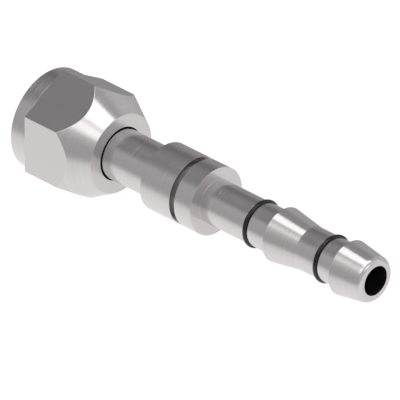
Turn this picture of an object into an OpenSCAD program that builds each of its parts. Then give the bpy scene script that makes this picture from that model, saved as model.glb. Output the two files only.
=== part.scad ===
// Straight hose fitting: a turned nipple that carries a captive hexagon nut,
// two O-rings and two barbs for the hose, and a collar grooved for a clip.
// X runs along the fitting from the port to the hose end. The origin is on the
// axis where the nut's thread begins, and one flat of the nut faces down.

/* [Swivel nut] */
// Width of the hexagon across its flats
nut_across_flats = 19.05; // [18:0.05:26]
// Overall length of the nut
nut_length = 17.7; // [16:0.1:26]
// Length of the round collar at the nut's front
nut_collar_length = 3.5; // [1:0.1:6]
// How far the round collar lies below the flats
nut_collar_drop = 0.05; // [0.02:0.01:1]
// Diameter of the nut's rear face
nut_rear_diameter = 14.9; // [12:0.1:17]
// Angle between the nut's rear cone and the axis
nut_cone_angle = 29; // [22:0.5:45]

/* [Port thread] */
// Diameter at the crests of the internal thread
thread_crest_diameter = 14.5; // [13.6:0.05:15.4]
// Length of the threaded wall
thread_length = 8.7; // [6:0.1:9.5]
// Depth of the chamfer that leads into the thread
thread_entry = 0.7; // [0.3:0.1:1.2]
// Diameter of the relief behind the thread
relief_diameter = 16.2; // [15.6:0.1:17]
// Length of the relief behind the thread
relief_length = 1.6; // [0.8:0.1:2.2]

/* [Swivel seat] */
// Angle between the nut's inner shoulder and the axis
shoulder_angle = 45; // [35:1:60]
// Axial gap between the nut's shoulder and the back of the nipple's head
shoulder_gap = 0.15; // [0.05:0.01:0.4]
// Radial gap between the nipple's neck and the nut's rear bore
neck_gap = 0.24; // [0.1:0.01:0.5]

/* [Nipple head] */
// Radial room between the head and the crests of the thread
head_room = 0.65; // [0.3:0.05:1.2]
// Distance from the end of the thread to the face of the head
head_setback = 0.5; // [0.2:0.05:1]
// Width of the flat rim round the flared seat
head_rim = 0.7; // [0.3:0.05:1.2]
// Angle between the flared seat and the axis
flare_angle = 45; // [37:1:50]
// Diameter of the bore through the nipple
bore_diameter = 5.5; // [4:0.1:5.9]

/* [Neck and collar] */
// Diameter of the neck that the nut slides on
neck_diameter = 9.525; // [8.5:0.025:10.6]
// Bare neck between the nut's rear face and the collar
neck_travel = 11.05; // [6:0.05:20]
// Diameter of the collar
collar_diameter = 12.7; // [11:0.1:16]
// Length of the collar
collar_length = 12.3; // [9:0.1:20]
// Distance from the collar's front face to the clip groove
clip_groove_offset = 7.15; // [1:0.05:10]
// Width of the clip groove
clip_groove_width = 1.2; // [0.8:0.05:2]
// Depth of the clip groove
clip_groove_depth = 1.1; // [0.3:0.05:1.4]

/* [Hose stem] */
// Diameter of the stem between the barbs
stem_diameter = 8.2; // [7.8:0.05:9.2]
// Distance from the collar to the middle of the inner O-ring
inner_ring_offset = 11.05; // [6:0.05:18]
// Distance between the middles of the two O-rings
ring_pitch = 17.05; // [15.5:0.05:26]
// Diameter of the barbs at their crests
barb_diameter = 10.2; // [9.6:0.05:12]
// Length of a barb's taper
barb_length = 6.85; // [4:0.05:9]
// Distance from the middle of the inner O-ring to the inner barb's step
inner_barb_offset = 5.25; // [2:0.05:6.5]
// Distance from the middle of the outer O-ring to the outer barb's step
outer_barb_offset = 4.2; // [2:0.05:10]
// Distance from the outer barb's step to the end face
tip_length = 6.45; // [4:0.05:14]
// Radius of the rounded edge at the end face
tip_radius = 1.1; // [0.3:0.05:1.3]

/* [O-rings] */
// Thickness of the O-rings
ring_section = 0.9; // [0.7:0.05:1.2]
// How far the O-rings stand out of the stem
ring_proud = 0.4; // [0.2:0.05:0.6]
// Clearance between an O-ring and each side of its groove
ring_side_gap = 0.1; // [0.05:0.01:0.3]
// Clearance between an O-ring and the floor of its groove
ring_floor_gap = 0.02; // [0.01:0.01:0.1]

/* [Hidden] */

$fn = 96;
past = 1; // how far a cut runs past the face it opens

// radii
crest_r = thread_crest_diameter / 2;
relief_r = relief_diameter / 2;
bore_r = bore_diameter / 2;
neck_r = neck_diameter / 2;
nut_bore_r = neck_r + neck_gap;
head_r = crest_r - head_room;
seat_r = head_r - head_rim;
collar_r = collar_diameter / 2;
stem_r = stem_diameter / 2;
barb_r = barb_diameter / 2;
nut_rear_r = nut_rear_diameter / 2;
nut_collar_r = nut_across_flats / 2 - nut_collar_drop;
nut_corner_d = nut_across_flats / cos(30);

// places along the axis, from the port to the hose end
nut_front_x = -thread_entry;
hexagon_x = nut_front_x + nut_collar_length;
nut_rear_x = nut_front_x + nut_length;
shoulder_x = thread_length + relief_length;
nut_bore_x = shoulder_x + (relief_r - nut_bore_r) / tan(shoulder_angle);
head_x = thread_length + head_setback;
seat_end_x = head_x + (seat_r - bore_r) / tan(flare_angle);
head_back_x = shoulder_x - shoulder_gap + (relief_r - head_r) / tan(shoulder_angle);
neck_x = shoulder_x - shoulder_gap + (relief_r - neck_r) / tan(shoulder_angle);
collar_x = nut_rear_x + neck_travel;
stem_x = collar_x + collar_length;
inner_ring_x = stem_x + inner_ring_offset;
outer_ring_x = inner_ring_x + ring_pitch;
inner_barb_x = inner_ring_x + inner_barb_offset;
outer_barb_x = outer_ring_x + outer_barb_offset;
tip_x = outer_barb_x + tip_length;

// O-rings and their grooves
ring_r = stem_r + ring_proud - ring_section / 2;
ring_floor_r = ring_r - ring_section / 2 - ring_floor_gap;
ring_groove_width = ring_section + 2 * ring_side_gap;

// the outer barb's taper where it meets the end face
tip_is_tapered = barb_length > tip_length;
tip_angle = tip_is_tapered ? atan((barb_r - stem_r) / barb_length) : 0;
tip_r = tip_is_tapered ? barb_r - tip_length * tan(tip_angle) : stem_r;

// Turn an outline about X. The outline's x is the radius and its y the place along the axis.
module turned() {
    rotate([0, 90, 0])
        rotate_extrude()
            children();
}

// Outline of a groove cut from the outside down to floor_r, centred at y = 0
module groove_outline(floor_r, outer_r, width) {
    translate([floor_r, -width / 2])
        square([outer_r + past - floor_r, width]);
}

// Outline of a barb: a sharp step at y = 0 and a long taper towards the tip
module barb_outline() {
    polygon([
        [bore_r, 0],
        [barb_r, 0],
        [stem_r, barb_length],
        [bore_r, barb_length]
    ]);
}

// Outline of what is cut away to round the outer edge of the end face.
// The arc is tangent to the end face and to the taper beside it.
module tip_edge_outline() {
    arc_x = tip_x - tip_radius;
    arc_r = tip_r + tip_radius * tan(tip_angle) - tip_radius / cos(tip_angle);
    difference() {
        polygon([
            [arc_r, arc_x],
            [arc_r + 2 * tip_radius * cos(tip_angle), arc_x + 2 * tip_radius * sin(tip_angle)],
            [arc_r + 2 * tip_radius, arc_x + 2 * tip_radius],
            [arc_r, arc_x + 2 * tip_radius]
        ]);
        translate([arc_r, arc_x])
            circle(r = tip_radius);
    }
}

// Outline of the nipple's head and neck, up to the collar
module head_outline() {
    polygon([
        [bore_r, seat_end_x],
        [seat_r, head_x],
        [head_r, head_x],
        [head_r, head_back_x],
        [neck_r, neck_x],
        [neck_r, collar_x],
        [bore_r, collar_x]
    ]);
}

// One turned piece from the flared seat to the hose end
module nipple() {
    color([0.64, 0.63, 0.62])
        turned()
            difference() {
                union() {
                    head_outline();
                    translate([bore_r, collar_x])
                        square([collar_r - bore_r, collar_length]);
                    translate([bore_r, stem_x])
                        square([stem_r - bore_r, tip_x - stem_x]);
                    translate([0, inner_barb_x])
                        barb_outline();
                    intersection() {
                        translate([0, outer_barb_x])
                            barb_outline();
                        square([barb_r + past, tip_x]);
                    }
                }
                translate([0, collar_x + clip_groove_offset + clip_groove_width / 2])
                    groove_outline(collar_r - clip_groove_depth, collar_r, clip_groove_width);
                for (ring_x = [inner_ring_x, outer_ring_x])
                    translate([0, ring_x])
                        groove_outline(ring_floor_r, barb_r, ring_groove_width);
                tip_edge_outline();
            }
}

// Outline of everything that is bored out of the nut: the thread with its
// chamfer, the relief, the sloping shoulder and the bore round the neck
module nut_bore_outline() {
    polygon([
        [0, nut_front_x - past],
        [crest_r + thread_entry + past, nut_front_x - past],
        [crest_r, 0],
        [crest_r, thread_length],
        [relief_r, thread_length],
        [relief_r, shoulder_x],
        [nut_bore_r, nut_bore_x],
        [nut_bore_r, nut_rear_x + past],
        [0, nut_rear_x + past]
    ]);
}

// Hexagon nut with a round collar in front and a cone that trims its corners behind
module swivel_nut() {
    hexagon_length = nut_rear_x - hexagon_x;
    color([0.66, 0.65, 0.64])
        difference() {
            union() {
                translate([nut_front_x, 0, 0])
                    rotate([0, 90, 0])
                        cylinder(h = nut_collar_length, r = nut_collar_r);
                translate([hexagon_x, 0, 0])
                    rotate([0, 90, 0])
                        intersection() {
                            rotate([0, 0, 30])
                                cylinder(h = hexagon_length, d = nut_corner_d, $fn = 6);
                            cylinder(
                                h = hexagon_length,
                                r1 = nut_rear_r + hexagon_length * tan(nut_cone_angle),
                                r2 = nut_rear_r
                            );
                        }
            }
            turned()
                nut_bore_outline();
        }
}

// An O-ring lying in its groove at ring_x
module o_ring(ring_x) {
    color([0.10, 0.10, 0.11])
        turned()
            translate([ring_r, ring_x])
                circle(d = ring_section);
}

module inner_o_ring() {
    o_ring(inner_ring_x);
}

module outer_o_ring() {
    o_ring(outer_ring_x);
}

nipple();
swivel_nut();
inner_o_ring();
outer_o_ring();
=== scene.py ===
import math
import bpy
import numpy as np
from mathutils import Matrix, Vector


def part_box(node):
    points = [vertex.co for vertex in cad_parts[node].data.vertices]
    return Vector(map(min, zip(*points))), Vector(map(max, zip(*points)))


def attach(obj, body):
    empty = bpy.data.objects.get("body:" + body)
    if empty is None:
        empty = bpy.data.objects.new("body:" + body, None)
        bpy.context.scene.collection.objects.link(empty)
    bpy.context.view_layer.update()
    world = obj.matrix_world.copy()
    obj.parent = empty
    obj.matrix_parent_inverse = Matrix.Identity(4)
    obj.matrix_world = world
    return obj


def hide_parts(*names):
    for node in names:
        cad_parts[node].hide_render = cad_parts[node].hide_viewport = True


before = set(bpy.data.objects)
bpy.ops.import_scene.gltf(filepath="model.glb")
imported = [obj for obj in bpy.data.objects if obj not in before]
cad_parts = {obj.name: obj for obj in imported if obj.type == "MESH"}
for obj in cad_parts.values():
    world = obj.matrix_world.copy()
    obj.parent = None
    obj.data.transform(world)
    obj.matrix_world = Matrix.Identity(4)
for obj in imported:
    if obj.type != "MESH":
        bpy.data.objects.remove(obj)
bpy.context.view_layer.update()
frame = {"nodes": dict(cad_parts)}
print("frame loaded:", ", ".join(frame["nodes"]))

# The shapes are worked out in millimetres along the fitting's axis X, and turned
# into metres where a mesh or a place in the scene is made
mm = 0.001


# Meshes

def roundedPath(corners):
    # A path of rows (x, r) through corners (x, r, radius), each value a number or
    # one value per column. The first and last corner are kept as they are. Every
    # other corner becomes an arc that is tangent to both sides, with the tangent
    # length radius * tan(half the turn), scaled down where two arcs would take more
    # than mostOfSide of the side between them. A support row just outside each end
    # of the arc keeps the sides beside it evenly shaded. The edge mask that comes
    # with it is sin(pi * share of the arc) on an outer edge and 0 elsewhere.
    mostOfSide = 0.8
    support, supportShare = 0.03, 0.08
    arcRows, broadRows, broadRadius = 7, 19, 0.5     # a broad arc is no edge, and has more rows
    columns = max(np.size(value) for corner in corners for value in corner)
    spread = [[np.broadcast_to(np.asarray(v, float), (columns,)) for v in c] for c in corners]
    points = [np.stack(c[:2], axis=-1) for c in spread]
    sides = [after - before for before, after in zip(points, points[1:])]
    lengths = [np.linalg.norm(side, axis=-1) for side in sides]
    ways = [side / length[:, None] for side, length in zip(sides, lengths)]
    turns = [np.arccos(np.clip(np.sum(a * b, axis=-1), -1, 1)) for a, b in zip(ways, ways[1:])]
    none = np.zeros(columns)
    wanted = [none] + [spread[k + 1][2] * np.tan(turn / 2) for k, turn in enumerate(turns)] + [none]
    shares = [
        np.minimum(1, mostOfSide * length / np.maximum(wanted[k] + wanted[k + 1], 1e-9))
        for k, length in enumerate(lengths)
    ]
    rows = [points[0]]
    edge = [none]
    for k in range(1, len(points) - 1):
        here, turn = points[k], turns[k - 1]
        a, b = -ways[k - 1], ways[k]
        reach = wanted[k] * np.minimum(shares[k - 1], shares[k])
        radius = reach / np.tan(turn / 2)
        middle = a + b
        middle = middle / np.linalg.norm(middle, axis=-1)[:, None]
        centre = here + middle * (radius / np.cos(turn / 2))[:, None]
        start = here + a * reach[:, None] - centre
        end = here + b * reach[:, None] - centre
        step = np.minimum(support, supportShare * np.minimum(lengths[k - 1], lengths[k]))
        broad = np.max(radius) > broadRadius
        convex = (a[:, 0] * b[:, 1] > a[:, 1] * b[:, 0]) * (0.0 if broad else 1.0)
        rows.append(here + a * (reach + step)[:, None])
        edge.append(none)
        for t in np.linspace(0, 1, broadRows if broad else arcRows):
            part = np.sin((1 - t) * turn)[:, None] * start + np.sin(t * turn)[:, None] * end
            rows.append(centre + part / np.sin(turn)[:, None])
            edge.append(convex * np.sin(np.pi * t))
        rows.append(here + b * (reach + step)[:, None])
        edge.append(none)
    rows.append(points[-1])
    edge.append(none)
    return np.array(rows), np.array(edge)


def closedSurface(name, body, x, r, angle, masks, material, node):
    # A surface closed both ways, like a ring: the point at row k and column j is
    # (x, r cos angle, r sin angle). Its signed volume tells which way it faces.
    rows, columns = x.shape
    points = np.stack([x, r * np.cos(angle), r * np.sin(angle)], axis=-1) * mm
    k, j = np.meshgrid(np.arange(rows), np.arange(columns), indexing="ij")
    k2, j2 = (k + 1) % rows, (j + 1) % columns
    quads = np.stack([k * columns + j, k * columns + j2, k2 * columns + j2, k2 * columns + j], axis=-1)
    quads = quads.reshape(-1, 4)
    flat = points.reshape(-1, 3)
    a, b, c, d = (flat[quads[:, i]] for i in range(4))
    volume = (np.sum(np.cross(a, b) * c) + np.sum(np.cross(a, c) * d)) / 6 / mm ** 3
    if volume < 0:
        quads = quads[:, ::-1]
    mesh = bpy.data.meshes.new(name)
    mesh.from_pydata(flat.tolist(), [], quads.tolist())
    mesh.polygons.foreach_set("use_smooth", np.ones(len(quads), dtype=bool))
    for maskName, mask in masks.items():
        mark = mesh.attributes.new(maskName, "FLOAT", "POINT")
        mark.data.foreach_set("value", np.broadcast_to(mask, x.shape).astype(np.float32).ravel())
    mesh.materials.append(material)
    mesh.update()
    piece = bpy.data.objects.new(name, mesh)
    bpy.context.scene.collection.objects.link(piece)
    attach(piece, body)
    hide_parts(node)
    print("made", name, "with", 2 * len(quads), "triangles round", round(abs(volume), 1), "mm3")
    return piece


# Nipple

nipple = {
    "boreDiameter": 5.5,
    "headRoom": 0.65,            # head below the crests of the nut's thread
    "headSetback": 0.5,          # face of the head behind the end of the thread
    "headRim": 0.7,              # flat ring round the flared face
    "flareAngle": 45.0,
    "neckDiameter": 9.525,
    "neckTravel": 11.05,         # bare neck between the nut and the collar
    "collarDiameter": 12.7,
    "collarLength": 12.3,
    "clipGrooveOffset": 7.15,
    "clipGrooveWidth": 1.2,
    "clipGrooveDepth": 1.1,
    "stemDiameter": 8.2,
    "barbDiameter": 10.2,
    "barbLength": 6.85,
    "innerBarbOffset": 5.25,
    "outerBarbOffset": 4.2,
    "tipLength": 6.45,
    "tipRadius": 1.1,
    # Radii on the other edges, outer ones first
    "edge": 0.06,
    "clipGrooveEdge": 0.02,
    "collarRearEdge": 0.012,
    "ringGrooveEdge": 0.03,
    "boreEdge": 0.2,
    "headEdge": 0.15,
    "neckFillet": 0.4,
    "stepCorner": 0.02,
    "taperEnd": 0.6,             # where the inner barb's taper runs out into the stem
    # Painted shade in the clip groove, finish and mesh
    "grooveShadeStart": 0.03,    # depth at which the painted shade in the clip groove begins to darken it
    "grooveShadeDepth": 0.25,    # and how much further down it is fully dark
    "markDepth": 0.03,           # of the turning marks
    "columns": 192,              # of the mesh round the axis
}


def nippleOutline():
    # The turned outline as one loop, starting and ending in the middle of the bore
    n = nipple
    edge, corner, grooveEdge = n["edge"], n["stepCorner"], n["ringGrooveEdge"]
    boreR, neckR, collarR, stemR, barbR = (at[r] for r in ("boreR", "neckR", "collarR", "stemR", "barbR"))
    floorR = at["ringFloorR"]
    middle = (at["flareEnd"] + at["tip"]) / 2
    seam = 1                     # length of the side along the bore that closes the loop
    clipA = at["collar"] + n["clipGrooveOffset"]
    clipB = clipA + n["clipGrooveWidth"]
    clipR = collarR - n["clipGrooveDepth"]
    half = oRing["section"] / 2 + oRing["sideGap"]
    innerA, innerB = at["innerRing"] - half, at["innerRing"] + half
    outerA, outerB = at["outerRing"] - half, at["outerRing"] + half
    corners = [
        (middle, boreR, 0),
        (at["flareEnd"], boreR, n["boreEdge"]),
        (at["head"], at["flareR"], edge),
        (at["head"], at["headR"], n["headEdge"]),
        (at["headBack"], at["headR"], n["headEdge"]),
        (at["neck"], neckR, n["neckFillet"]),
        (at["collar"], neckR, corner),
        (at["collar"], collarR, edge),
        (clipA, collarR, n["clipGrooveEdge"]),
        (clipA, clipR, edge),
        (clipB, clipR, edge),
        (clipB, collarR, n["clipGrooveEdge"]),
        (at["stem"], collarR, n["collarRearEdge"]),
        (at["stem"], stemR, corner),
        (innerA, stemR, grooveEdge),
        (innerA, floorR, edge),
        (innerB, floorR, edge),
        (innerB, stemR, grooveEdge),
        (at["innerBarb"], stemR, corner),
        (at["innerBarb"], barbR, edge),
        (at["innerBarb"] + n["barbLength"], stemR, n["taperEnd"]),
        (outerA, stemR, grooveEdge),
        (outerA, floorR, edge),
        (outerB, floorR, edge),
        (outerB, stemR, grooveEdge),
        (at["outerBarb"], stemR, corner),
        (at["outerBarb"], barbR, edge),
        (at["tip"], at["tipR"], n["tipRadius"]),
        (at["tip"], boreR, edge),
        (middle + seam, boreR, 0),
    ]
    return roundedPath(corners)


def makeNipple(material):
    # The outline turned about X. The mask of painted shade grows with the depth in the clip groove, which
    # is darkened as if it lay in shade.
    rows, edge = nippleOutline()
    columns = nipple["columns"]
    angle = np.arange(columns) * 2 * np.pi / columns
    x = np.repeat(rows[:, :, 0], columns, axis=1)
    r = np.repeat(rows[:, :, 1], columns, axis=1)
    groove = at["collar"] + nipple["clipGrooveOffset"]
    margin = 0.01
    inGroove = (x > groove - margin) & (x < groove + nipple["clipGrooveWidth"] + margin) & (r > at["neckR"])
    depth = at["collarR"] - nipple["grooveShadeStart"] - r
    shade = np.clip(depth / nipple["grooveShadeDepth"], 0, 1)
    # This mask paints shade into the clip groove, darker with its depth
    masks = {"edgeMask": edge, "paintedGrooveShade": shade * inGroove}
    return closedSurface(
        "nipplePiece", "nipple_body", x, r, angle[None, :], masks, material, "nipple",
    )


# Swivel nut

swivelNut = {
    "acrossFlats": 19.05,
    "length": 17.7,
    "collarLength": 3.5,
    "collarDrop": 0.05,          # of the round collar below the flats
    "rearDiameter": 14.9,
    "coneAngle": 29.0,
    "crestDiameter": 14.5,
    "majorDiameter": 15.875,
    "pitch": 25.4 / 18,
    "threadAngle": 60.0,
    "threadLength": 8.7,
    "threadEntry": 0.7,
    "rootFlat": 0.125,           # half the flat at the thread's root, as a share of half a pitch
    "flankEase": 0.25,           # share of the climb that is eased at both ends
    "reliefDiameter": 16.2,
    "reliefLength": 1.6,
    "shoulderAngle": 45.0,
    "shoulderGap": 0.15,
    "neckGap": 0.24,
    # Radii on the edges
    "cornerRadius": 0.12,        # along the hexagon's six corners
    "edge": 0.06,
    "mouthEdge": 0.04,
    "collarCorner": 0.02,
    "coneEdge": 0.25,
    "boreEdge": 0.2,
    "reliefEdge": 0.05,
    # Where the rows of the thread meet the others: depth behind the front face of
    # the last row of each, and height of the wall between thread and relief
    "chamferJoin": 0.1,
    "threadJoin": 0.12,
    "reliefJoin": 0.12,
    # Finish and mesh
    "markDepth": 0.06,
    "flatColumns": 22,           # columns across one flat
    "cornerColumns": 9,
    "rowsPerTurn": 20,           # rows of the mesh in one turn of the thread
}


def hexagonColumns():
    # One column for each point of a hexagon with rounded corners: the distance of
    # the point from the axis and its angle. Corners point along Y, flats face Z.
    s = swivelNut
    cos30 = math.cos(math.radians(30))
    radius = s["cornerRadius"]
    centreR = s["acrossFlats"] / 2 / cos30 - radius / cos30
    arc = np.radians(np.linspace(-30, 30, s["cornerColumns"]))
    support = 0.03
    loop = []
    for side in range(6):
        middle, following = math.radians(60 * side), math.radians(60 * (side + 1))
        arcX = centreR * math.cos(middle) + radius * np.cos(middle + arc)
        arcY = centreR * math.sin(middle) + radius * np.sin(middle + arc)
        start = np.array([arcX[-1], arcY[-1]])
        end = np.array([
            centreR * math.cos(following) + radius * math.cos(following + arc[0]),
            centreR * math.sin(following) + radius * math.sin(following + arc[0]),
        ])
        share = support / np.linalg.norm(end - start)
        t = np.concatenate([[share], np.linspace(0, 1, s["flatColumns"] + 1)[1:-1], [1 - share]])
        loop.append(np.stack([arcX, arcY], axis=-1))
        loop.append(start + (end - start) * t[:, None])
    loop = np.concatenate(loop)
    return np.hypot(loop[:, 0], loop[:, 1]), np.unwrap(np.arctan2(loop[:, 1], loop[:, 0]))


def threadRows(angle):
    # Rows of the threaded wall, from its inner end to the chamfer. The radius falls
    # from the root to the crest over a V, by how far the row's place in the turn,
    # x / pitch - angle / full turn, lies from the root. A share of the climb is
    # eased at both ends. The wall is never inside the cone of the chamfer.
    s = swivelNut
    rootR = s["majorDiameter"] / 2
    depth = rootR - at["crestR"]
    pitch = s["pitch"]
    inner = s["threadLength"]
    outer = at["nutFront"] + s["threadJoin"]
    count = int(round((inner - outer) / pitch * s["rowsPerTurn"]))
    x = np.linspace(inner, outer, count)[:, None]
    place = (x / pitch - angle[None, :] / (2 * np.pi)) % 1
    away = np.abs(place - 0.5) * 2
    flank = depth * math.tan(math.radians(s["threadAngle"] / 2)) / pitch * 2
    climb = np.clip((away - s["rootFlat"]) / flank, 0, 1)
    ease = s["flankEase"]
    climb = (1 - ease) * climb + ease * climb * climb * (3 - 2 * climb)
    r = np.maximum(rootR - depth * climb, at["crestR"] - x)
    return np.broadcast_to(x, r.shape), r


def makeSwivelNut(material):
    # Rows round the outside and the smooth bore, with the hexagon's distances where
    # it is full, and then the rows of the thread. The rear cone starts where a line
    # at the cone's angle from the rear edge meets the hexagon, column by column.
    s = swivelNut
    hexagonR, angle = hexagonColumns()
    edge = s["edge"]
    collarR = s["acrossFlats"] / 2 - s["collarDrop"]
    rearR = s["rearDiameter"] / 2
    mouthR = at["crestR"] + s["threadEntry"]
    coneStart = at["nutRear"] - (hexagonR - rearR) / math.tan(math.radians(s["coneAngle"]))
    corners = [
        (at["nutFront"] + s["chamferJoin"], mouthR - s["chamferJoin"], 0),
        (at["nutFront"], mouthR, s["mouthEdge"]),
        (at["nutFront"], collarR, edge),
        (at["hexagon"], collarR, s["collarCorner"]),
        (at["hexagon"], hexagonR, edge),
        (coneStart, hexagonR, s["coneEdge"]),
        (at["nutRear"], rearR, edge),
        (at["nutRear"], at["nutBoreR"], edge),
        (at["nutBore"], at["nutBoreR"], s["boreEdge"]),
        (at["shoulder"], at["reliefR"], s["boreEdge"]),
        (s["threadLength"], at["reliefR"], s["reliefEdge"]),
        (s["threadLength"], at["reliefR"] - s["reliefJoin"], 0),
    ]
    rows, outerEdge = roundedPath(corners)
    threadX, threadR = threadRows(angle)
    x = np.concatenate([rows[:, :, 0], threadX])
    r = np.concatenate([rows[:, :, 1], threadR])
    tolerance = 0.005
    onFlat = (np.abs(r - hexagonR) < tolerance) & (x > at["hexagon"])
    masks = {"edgeMask": np.concatenate([outerEdge, np.zeros_like(threadR)]), "flatMask": onFlat}
    return closedSurface(
        "swivelNutPiece", "nut_body", x, r, angle[None, :], masks, material, "swivel_nut",
    )


# O-rings

oRing = {
    "section": 0.9,
    "proud": 0.4,                # how far it stands out of the stem
    "sideGap": 0.1,
    "floorGap": 0.02,
    "innerOffset": 11.05,        # from the collar to the middle of the inner one
    "pitch": 17.05,
    "columns": 192,
    "rows": 40,
}


def makeRing(name, middle, node, material):
    # A torus: a circle of radius half the section, carried round the axis
    columns, rowCount = oRing["columns"], oRing["rows"]
    turn = np.arange(rowCount)[:, None] * 2 * np.pi / rowCount
    angle = np.arange(columns)[None, :] * 2 * np.pi / columns
    half = oRing["section"] / 2
    x = middle + half * np.cos(turn) + 0 * angle
    r = at["ringR"] + half * np.sin(turn) + 0 * angle
    return closedSurface(name, "nipple_body", x, r, angle, {}, material, node)


# Places along the axis and radii, worked out from the sizes of the pieces

def axisPlaces():
    n, s, o = nipple, swivelNut, oRing
    p = {}
    tanShoulder = math.tan(math.radians(s["shoulderAngle"]))
    tanFlare = math.tan(math.radians(n["flareAngle"]))
    p["boreR"] = n["boreDiameter"] / 2
    p["neckR"] = n["neckDiameter"] / 2
    p["collarR"] = n["collarDiameter"] / 2
    p["stemR"] = n["stemDiameter"] / 2
    p["barbR"] = n["barbDiameter"] / 2
    p["tipR"] = p["barbR"] - (p["barbR"] - p["stemR"]) / n["barbLength"] * n["tipLength"]
    p["crestR"] = s["crestDiameter"] / 2
    p["reliefR"] = s["reliefDiameter"] / 2
    p["nutBoreR"] = p["neckR"] + s["neckGap"]
    p["headR"] = p["crestR"] - n["headRoom"]
    p["flareR"] = p["headR"] - n["headRim"]
    p["nutFront"] = -s["threadEntry"]
    p["hexagon"] = p["nutFront"] + s["collarLength"]
    p["nutRear"] = p["nutFront"] + s["length"]
    p["shoulder"] = s["threadLength"] + s["reliefLength"]
    p["nutBore"] = p["shoulder"] + (p["reliefR"] - p["nutBoreR"]) / tanShoulder
    p["head"] = s["threadLength"] + n["headSetback"]
    p["flareEnd"] = p["head"] + (p["flareR"] - p["boreR"]) / tanFlare
    back = p["shoulder"] - s["shoulderGap"]
    p["headBack"] = back + (p["reliefR"] - p["headR"]) / tanShoulder
    p["neck"] = back + (p["reliefR"] - p["neckR"]) / tanShoulder
    p["collar"] = p["nutRear"] + n["neckTravel"]
    p["stem"] = p["collar"] + n["collarLength"]
    p["innerRing"] = p["stem"] + o["innerOffset"]
    p["outerRing"] = p["innerRing"] + o["pitch"]
    p["innerBarb"] = p["innerRing"] + n["innerBarbOffset"]
    p["outerBarb"] = p["outerRing"] + n["outerBarbOffset"]
    p["tip"] = p["outerBarb"] + n["tipLength"]
    p["ringR"] = p["stemR"] + o["proud"] - o["section"] / 2
    p["ringFloorR"] = p["ringR"] - o["section"] / 2 - o["floorGap"]
    return p


at = axisPlaces()


# Small helpers for node trees

def wire(tree, source, target):
    tree.links.new(source, target)


def mathNode(tree, operation, first, second=None, third=None):
    node = tree.nodes.new("ShaderNodeMath")
    node.operation = operation
    for index, value in enumerate((first, second, third)):
        if value is None:
            continue
        if isinstance(value, (int, float)):
            node.inputs[index].default_value = value
        else:
            wire(tree, value, node.inputs[index])
    return node.outputs[0]


def rangeNode(tree, source, low, high, toLow=0.0, toHigh=1.0):
    # From low and high to toLow and toHigh, in a straight line and no further
    node = tree.nodes.new("ShaderNodeMapRange")
    for name, value in (("From Min", low), ("From Max", high), ("To Min", toLow), ("To Max", toHigh)):
        node.inputs[name].default_value = value
    wire(tree, source, node.inputs["Value"])
    return node.outputs["Result"]


def edgeNode(tree, source, low, high):
    # 0 before low and 1 past high with a smooth edge, or falling where low is the greater
    result = rangeNode(tree, source, low, high)
    result.node.interpolation_type = "SMOOTHSTEP"
    return result


def levelNode(tree, source, stops, low=-1.0, high=1.0):
    # Level between the given stops, which lie from low to high
    ramp = tree.nodes.new("ShaderNodeValToRGB")
    for index, (where, level) in enumerate(stops):
        share = (where - low) / (high - low)
        stop = ramp.color_ramp.elements[index] if index < 2 else ramp.color_ramp.elements.new(share)
        stop.position = share
        stop.color = (level, level, level, 1)
    wire(tree, rangeNode(tree, source, low, high), ramp.inputs["Fac"])
    return ramp.outputs["Color"]


def attributeNode(tree, name):
    node = tree.nodes.new("ShaderNodeAttribute")
    node.attribute_name = name
    return node.outputs["Fac"]


def blendNode(tree, factor, first, second):
    # first where the factor is 0 and second where it is 1, each a colour or a socket
    node = tree.nodes.new("ShaderNodeMix")
    node.data_type = "RGBA"
    for name, value in (("A", first), ("B", second)):
        if isinstance(value, tuple):
            node.inputs[name].default_value = value
        else:
            wire(tree, value, node.inputs[name])
    wire(tree, factor, node.inputs["Factor"])
    return node.outputs["Result"]


def bumpNode(tree, height, strength, distance):
    node = tree.nodes.new("ShaderNodeBump")
    node.inputs["Strength"].default_value = strength
    node.inputs["Distance"].default_value = distance
    wire(tree, height, node.inputs["Height"])
    return node.outputs["Normal"]


# Steel

steelFinish = {
    "colour": (0.645, 0.62, 0.625),
    "edgeGain": 1.05,            # edges are brighter
    "grooveShadeGain": 0.62,         # and the bottom of the clip groove is darker, a painted shade
    "roughness": (0.16, 0.22),
    "roughnessValue": (0.3, 0.7),    # values of the marks between which it lies
    "streak": 0.16,              # how much a mark changes the colour
    "flatLoss": 0.85,            # share of the marks that the milled flats lack
    "bumpStrength": 0.5,
}

turningMarks = {
    "coarse": 2600,              # waves in a metre
    "fine": 7000,
    "coarseShare": 0.7,
    "fineShare": 0.5,
    "detail": 2,
    "radiusShare": 0.8,
    "patchScale": 190,
    "patchDetail": 3,
    "patchEdge": (0.42, 0.62),
    "patchDepth": 0.25,
    "valueRings": 0.8,
    "valueCloud": 0.3,
    "valueBase": 0.35,
}


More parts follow.
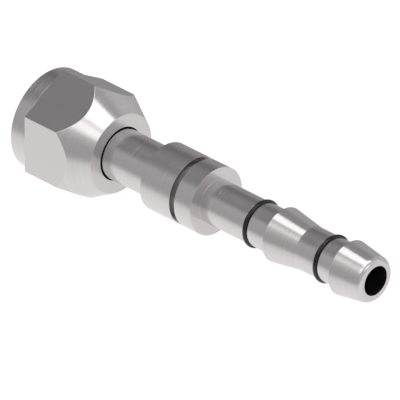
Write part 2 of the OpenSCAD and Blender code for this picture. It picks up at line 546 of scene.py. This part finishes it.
def turningMarksGroup():
    # Rings left by the lathe tool: noise along x + radiusShare * radius at two scales,
    # so that faces square to the axis have rings as well, and deeper in patches. It
    # puts out a height and a value for the roughness.
    m = turningMarks
    group = bpy.data.node_groups.new("turningMarks", "ShaderNodeTree")
    face = group.interface
    face.new_socket("Coarse", in_out="INPUT", socket_type="NodeSocketFloat").default_value = m["coarse"]
    face.new_socket("Fine", in_out="INPUT", socket_type="NodeSocketFloat").default_value = m["fine"]
    face.new_socket("Height", in_out="OUTPUT", socket_type="NodeSocketFloat")
    face.new_socket("Value", in_out="OUTPUT", socket_type="NodeSocketFloat")
    into = group.nodes.new("NodeGroupInput")
    out = group.nodes.new("NodeGroupOutput")
    place = group.nodes.new("ShaderNodeTexCoord")
    parts = group.nodes.new("ShaderNodeSeparateXYZ")
    wire(group, place.outputs["Object"], parts.inputs[0])
    ySquared = mathNode(group, "MULTIPLY", parts.outputs["Y"], parts.outputs["Y"])
    radiusSquared = mathNode(group, "MULTIPLY_ADD", parts.outputs["Z"], parts.outputs["Z"], ySquared)
    radius = mathNode(group, "SQRT", radiusSquared)
    along = mathNode(group, "MULTIPLY_ADD", radius, m["radiusShare"], parts.outputs["X"])
    rings = []
    for scale in ("Coarse", "Fine"):
        noise = group.nodes.new("ShaderNodeTexNoise")
        noise.noise_dimensions = "1D"
        noise.inputs["Detail"].default_value = m["detail"]
        wire(group, along, noise.inputs["W"])
        wire(group, into.outputs[scale], noise.inputs["Scale"])
        rings.append(mathNode(group, "SUBTRACT", noise.outputs["Fac"], 0.5))
    coarse, fine = rings
    cloud = group.nodes.new("ShaderNodeTexNoise")
    cloud.inputs["Scale"].default_value = m["patchScale"]
    cloud.inputs["Detail"].default_value = m["patchDetail"]
    wire(group, place.outputs["Object"], cloud.inputs["Vector"])
    patches = edgeNode(group, cloud.outputs["Fac"], *m["patchEdge"])
    deep = mathNode(group, "MULTIPLY_ADD", patches, m["patchDepth"], 1 - m["patchDepth"])
    both = mathNode(group, "MULTIPLY", coarse, m["coarseShare"])
    both = mathNode(group, "MULTIPLY_ADD", fine, m["fineShare"], both)
    wire(group, mathNode(group, "MULTIPLY", both, deep), out.inputs["Height"])
    value = mathNode(group, "MULTIPLY_ADD", fine, m["valueRings"], m["valueBase"])
    value = mathNode(group, "MULTIPLY_ADD", cloud.outputs["Fac"], m["valueCloud"], value)
    wire(group, value, out.inputs["Value"])
    return group


def steel(name, marks, markDepth):
    # Bright turned steel. Its marks give the bump, the roughness and faint streaks, and the bottom of the
    # clip groove is darkened with painted shade.
    s = steelFinish
    material = bpy.data.materials.new(name)
    material.use_nodes = True
    tree = material.node_tree
    shader = tree.nodes["Principled BSDF"]
    shader.inputs["Metallic"].default_value = 1.0
    turned = tree.nodes.new("ShaderNodeGroup")
    turned.node_tree = marks
    roughness = rangeNode(tree, turned.outputs["Value"], *s["roughnessValue"], *s["roughness"])
    wire(tree, roughness, shader.inputs["Roughness"])
    lathe = mathNode(tree, "MULTIPLY_ADD", attributeNode(tree, "flatMask"), -s["flatLoss"], 1.0)
    height = mathNode(tree, "MULTIPLY", turned.outputs["Height"], lathe)
    wire(tree, bumpNode(tree, height, s["bumpStrength"], markDepth * mm), shader.inputs["Normal"])
    plain = (*s["colour"], 1)
    bright = (*[min(1, c * s["edgeGain"]) for c in s["colour"]], 1)
    shaded = (*[c * s["grooveShadeGain"] for c in s["colour"]], 1)
    colour = blendNode(tree, attributeNode(tree, "edgeMask"), plain, bright)
    # Painted shade: the clip groove's colour darkens with its depth, where it lies in shade
    colour = blendNode(tree, attributeNode(tree, "paintedGrooveShade"), colour, shaded)
    streaks = tree.nodes.new("ShaderNodeVectorMath")
    streaks.operation = "SCALE"
    wire(tree, colour, streaks.inputs[0])
    wire(tree, mathNode(tree, "MULTIPLY_ADD", height, s["streak"], 1.0), streaks.inputs["Scale"])
    wire(tree, streaks.outputs["Vector"], shader.inputs["Base Color"])
    return material


# Rubber

rubberFinish = {
    "ior": 1.5,
    "colour": (0.002, 0.004),
    "roughness": (0.08, 0.14),
    "cloudScale": 900,           # waves in a metre
    "cloudDetail": 4,
    "bumpStrength": 0.08,
    "bumpDepth": 0.02,           # millimetres, as the steel's marks are
}


def rubber():
    # Black moulded rubber: one fine cloud moves its colour, roughness and bump
    s = rubberFinish
    material = bpy.data.materials.new("sealRubber")
    material.use_nodes = True
    tree = material.node_tree
    shader = tree.nodes["Principled BSDF"]
    shader.inputs["IOR"].default_value = s["ior"]
    place = tree.nodes.new("ShaderNodeTexCoord")
    cloud = tree.nodes.new("ShaderNodeTexNoise")
    cloud.inputs["Scale"].default_value = s["cloudScale"]
    cloud.inputs["Detail"].default_value = s["cloudDetail"]
    wire(tree, place.outputs["Object"], cloud.inputs["Vector"])
    level = rangeNode(tree, cloud.outputs["Fac"], 0, 1, *s["colour"])
    joined = tree.nodes.new("ShaderNodeCombineColor")
    for channel in ("Red", "Green", "Blue"):
        wire(tree, level, joined.inputs[channel])
    wire(tree, joined.outputs["Color"], shader.inputs["Base Color"])
    wire(tree, rangeNode(tree, cloud.outputs["Fac"], 0, 1, *s["roughness"]), shader.inputs["Roughness"])
    bump = bumpNode(tree, cloud.outputs["Fac"], s["bumpStrength"], s["bumpDepth"] * mm)
    wire(tree, bump, shader.inputs["Normal"])
    return material


# Camera

view = {
    "azimuth": 45.0,             # of the photograph, with the fitting along X
    "elevation": 30.0,
    "partTurn": -30.0,           # turn about X that brings a flat of the nut down
    "frameWidth": 69.26,         # millimetres across the picture
    "aimAlongAxis": 36.26,       # the point on the axis nearest the picture's middle
    "aimRight": 0.12,            # and how far the middle lies from it, in millimetres
    "aimDown": 1.24,
    "halfAngle": 0.65,           # a long lens, because the photograph is nearly parallel
    "sensorWidth": 36,
    "clip": (0.1, 30),           # metres
}


def fromPhotoFrame(direction):
    # The photograph's frame has the fitting along X, and the part is turned in it
    return Matrix.Rotation(math.radians(view["partTurn"]), 3, "X") @ Vector(direction)


def makeCamera():
    azimuth, elevation = math.radians(view["azimuth"]), math.radians(view["elevation"])
    back = fromPhotoFrame((
        math.sin(azimuth) * math.cos(elevation),
        -math.cos(azimuth) * math.cos(elevation),
        math.sin(elevation),
    ))
    right = fromPhotoFrame((math.cos(azimuth), math.sin(azimuth), 0))
    up = back.cross(right)
    half = math.radians(view["halfAngle"])
    distance = view["frameWidth"] / 2 / math.tan(half) * mm
    aim = Vector((view["aimAlongAxis"], 0, 0)) * mm
    aim += right * view["aimRight"] * mm - up * view["aimDown"] * mm
    data = bpy.data.cameras.new("camera")
    data.sensor_width = view["sensorWidth"]
    data.lens = data.sensor_width / 2 / math.tan(half)
    data.clip_start, data.clip_end = view["clip"]
    camera = bpy.data.objects.new("camera", data)
    turn = Matrix((right, up, back)).transposed().to_4x4()
    camera.matrix_world = Matrix.Translation(aim + back * distance) @ turn
    bpy.context.scene.collection.objects.link(camera)
    bpy.context.scene.camera = camera


# Studio

studio = {
    # Levels by direction in the photograph's own frame: along the fitting x, away
    # from the camera y and up z. Each pair is a direction and a level.
    "wallByHeight": (
        (-1.0, 1.08), (-0.6, 1.04), (-0.48, 0.98), (-0.36, 0.83), (-0.26, 0.65), (-0.15, 0.5),
        (-0.05, 0.48), (0.5, 0.5), (0.57, 0.44), (0.67, 0.254), (1.0, 0.245),
    ),
    "behindStart": (0.15, 0.5),  # depth over which the wall behind the fitting takes over
    "behindByDepth": (
        (0.2, 0.27), (0.45, 0.2), (0.56, 0.17), (0.66, 0.23), (0.76, 0.33), (1.0, 0.36),
    ),
    "behindByLength": ((-0.62, 0.0), (-0.52, 0.13), (-0.4, 0.17), (-0.1, 0.3), (0.4, 0.3)),
    # The end of the fitting faces a side that is lighter, with a lamp in it
    "sideByDepth": (
        (-1.0, 0.6), (-0.78, 0.58), (-0.5, 0.6), (-0.28, 0.53), (0.0, 0.58), (0.25, 0.72),
        (0.5, 0.8), (0.7, 0.88), (0.8, 0.95), (1.0, 0.95),
    ),
    "sideLength": (0.4, 0.58),
    "lampDepth": (-0.3, -0.12, 0.18, 0.36),
    "lampLength": (0.76, 0.84, 0.9, 0.96),
    "lampLevel": 2.0,
    # The two panels overhead: where their soft edges begin and end, and their levels
    "panelLength": (-0.54, -0.42, 0.42, 0.54),
    "panelFoot": (0.0, 0.1),     # their soft edge at the horizon
    "nearPanelDepth": (-0.81, -0.57, -0.05, 0.0),
    "nearPanelBulge": 0.13,
    "nearPanelLevel": 1.35,
    "nearPanelRise": 0.75,       # of its level with x
    "nearPanelDip": (-0.5, -0.38, 0.32),     # past this depth it is darker by this share
    "nearGlowDepth": (-0.93, -0.58, -0.2, 0.1),      # a wide glow lies in front of it
    "nearGlowLevel": 0.45,
    "farPanelDepth": (-0.32, -0.26, 0.27, 0.33),
    "farPanelSkew": (-0.1, 0.27),            # of its near and far edge, so it widens with x
    "farPanelLevel": 1.75,
}


def panelNode(tree, x, y, z, length, depth, skew=(0.0, 0.0), bulge=0.0):
    # A panel above the horizon: the product of its soft edges at each side. Its
    # near edge bulges by bulge * (1 - (x / half length)^2).
    near, far = (mathNode(tree, "MULTIPLY_ADD", x, -slant, y) for slant in skew)
    away = mathNode(tree, "POWER", mathNode(tree, "DIVIDE", x, length[2]), 2.0)
    curve = mathNode(tree, "SUBTRACT", 1.0, mathNode(tree, "MINIMUM", away, 1.0))
    near = mathNode(tree, "MULTIPLY_ADD", curve, bulge, near)
    panel = edgeNode(tree, near, depth[0], depth[1])
    for source, low, high in (
        (far, depth[3], depth[2]), (x, length[0], length[1]), (x, length[3], length[2]),
        (z, *studio["panelFoot"]),
    ):
        panel = mathNode(tree, "MULTIPLY", panel, edgeNode(tree, source, low, high))
    return panel


def makeWorld():
    # The level of a direction is that of the wall at its height, behind the fitting
    # that of its depth and length, with the glow added. The lighter side, the lamp
    # and the two panels show where they are lighter than that.
    s = studio
    world = bpy.data.worlds.new("studioWalls")
    bpy.context.scene.world = world
    world.use_nodes = True
    tree = world.node_tree
    place = tree.nodes.new("ShaderNodeTexCoord")
    turn = tree.nodes.new("ShaderNodeMapping")
    turn.inputs["Rotation"].default_value = (math.radians(-view["partTurn"]), 0, 0)
    wire(tree, place.outputs["Generated"], turn.inputs["Vector"])
    parts = tree.nodes.new("ShaderNodeSeparateXYZ")
    wire(tree, turn.outputs["Vector"], parts.inputs[0])
    x, y, z = (parts.outputs[axis] for axis in "XYZ")

    wall = levelNode(tree, z, s["wallByHeight"])
    byDepth, byLength = levelNode(tree, y, s["behindByDepth"]), levelNode(tree, x, s["behindByLength"])
    difference = mathNode(tree, "SUBTRACT", mathNode(tree, "ADD", byDepth, byLength), wall)
    level = mathNode(tree, "MULTIPLY_ADD", difference, edgeNode(tree, y, *s["behindStart"]), wall)
    glow = panelNode(tree, x, y, z, s["panelLength"], s["nearGlowDepth"])
    level = mathNode(tree, "MULTIPLY_ADD", glow, s["nearGlowLevel"], level)

    sideLevel = levelNode(tree, y, s["sideByDepth"])
    side = mathNode(tree, "MULTIPLY", sideLevel, edgeNode(tree, x, *s["sideLength"]))
    lamp = panelNode(tree, x, y, z, s["lampLength"], s["lampDepth"])
    far = panelNode(tree, x, y, z, s["panelLength"], s["farPanelDepth"], s["farPanelSkew"])
    near = panelNode(tree, x, y, z, s["panelLength"], s["nearPanelDepth"], bulge=s["nearPanelBulge"])
    nearLevel = mathNode(tree, "MULTIPLY_ADD", x, s["nearPanelRise"], s["nearPanelLevel"])
    dipLow, dipHigh, dipShare = s["nearPanelDip"]
    dip = mathNode(tree, "MULTIPLY_ADD", edgeNode(tree, y, dipLow, dipHigh), -dipShare, 1.0)
    for source, strength in (
        (side, 1.0), (far, s["farPanelLevel"]), (lamp, s["lampLevel"]),
        (mathNode(tree, "MULTIPLY", near, dip), nearLevel),
    ):
        level = mathNode(tree, "MAXIMUM", level, mathNode(tree, "MULTIPLY", source, strength))

    # The camera sees it white, as it sees the floor
    path = tree.nodes.new("ShaderNodeLightPath")
    level = mathNode(tree, "MAXIMUM", level, path.outputs["Is Camera Ray"])
    wire(tree, level, tree.nodes["Background"].inputs["Color"])


floorPaper = {
    "size": 12.0,                # metres
    "colour": 0.8,
    "glow": 1.18,                # level of its glow for the camera
    "glowShare": 0.78,           # the rest of what is seen keeps the shadow
    # Level of its glow for the metal, by the place across the fitting in metres. It is lower just under the
    # fitting, a painted shadow that the metal mirrors, and higher in a band just in front of it.
    "depthRange": (-0.3, 0.1),
    "glowByDepth": (
        (-0.3, 0.96), (-0.1, 1.04), (-0.06, 1.06), (-0.035, 1.11), (-0.02, 1.15), (-0.012, 1.15),
        (-0.006, 1.09), (0.0, 1.0), (0.012, 1.0), (0.1, 1.0),
    ),
    "end": (0.012, 0.017),       # and where it fades out for the metal
}


def makeFloor():
    # A pale floor, part diffuse to keep the shadow and part glow. Its glow is white for the camera
    # and by depth for the metal, which sees a painted shadow under the fitting and sees the studio
    # through it from a little way behind the fitting.
    s = floorPaper
    half = s["size"] / 2
    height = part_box("swivel_nut")[0][1]      # as far below the axis as the nut's corners reach
    mesh = bpy.data.meshes.new("floor")
    corners = [(-half, -half, height), (half, -half, height), (half, half, height), (-half, half, height)]
    mesh.from_pydata(corners, [], [(0, 1, 2, 3)])
    floor = bpy.data.objects.new("floor", mesh)
    bpy.context.scene.collection.objects.link(floor)
    material = bpy.data.materials.new("floorPaper")
    material.use_nodes = True
    tree = material.node_tree
    place = tree.nodes.new("ShaderNodeTexCoord")
    parts = tree.nodes.new("ShaderNodeSeparateXYZ")
    wire(tree, place.outputs["Object"], parts.inputs[0])
    depth = parts.outputs["Y"]
    path = tree.nodes.new("ShaderNodeLightPath")
    paper = tree.nodes.new("ShaderNodeBsdfDiffuse")
    paper.inputs["Color"].default_value = (*[s["colour"]] * 3, 1)
    glow = tree.nodes.new("ShaderNodeEmission")
    whiteness = mathNode(tree, "MULTIPLY", path.outputs["Is Camera Ray"], s["glow"])
    # Painted shadow: the metal sees the floor's glow lower just under the fitting
    byDepth = levelNode(tree, depth, s["glowByDepth"], *s["depthRange"])
    wire(tree, mathNode(tree, "MAXIMUM", byDepth, whiteness), glow.inputs["Strength"])
    seen = mathNode(tree, "MAXIMUM", path.outputs["Is Camera Ray"], path.outputs["Is Glossy Ray"])
    seen = mathNode(tree, "MAXIMUM", seen, path.outputs["Is Transmission Ray"])
    both = tree.nodes.new("ShaderNodeMixShader")
    wire(tree, mathNode(tree, "MULTIPLY", seen, s["glowShare"]), both.inputs["Fac"])
    wire(tree, paper.outputs[0], both.inputs[1])
    wire(tree, glow.outputs[0], both.inputs[2])
    clear = tree.nodes.new("ShaderNodeBsdfTransparent")
    whole = tree.nodes.new("ShaderNodeMixShader")
    opening = mathNode(tree, "MULTIPLY", path.outputs["Is Glossy Ray"], edgeNode(tree, depth, *s["end"]))
    wire(tree, opening, whole.inputs["Fac"])
    wire(tree, both.outputs[0], whole.inputs[1])
    wire(tree, clear.outputs[0], whole.inputs[2])
    wire(tree, whole.outputs[0], tree.nodes["Material Output"].inputs["Surface"])
    mesh.materials.append(material)


makeCamera()
makeWorld()
makeFloor()
bpy.context.scene.view_settings.view_transform = "Standard"
print("camera, studio and floor placed")

marks = turningMarksGroup()
nippleSteel = steel("nippleSteel", marks, nipple["markDepth"])
nutSteel = steel("nutSteel", marks, swivelNut["markDepth"])
sealRubber = rubber()
print("materials made")

makeNipple(nippleSteel)
makeSwivelNut(nutSteel)
makeRing("innerRingPiece", at["innerRing"], "inner_o_ring", sealRubber)
makeRing("outerRingPiece", at["outerRing"], "outer_o_ring", sealRubber)
print("pieces made")
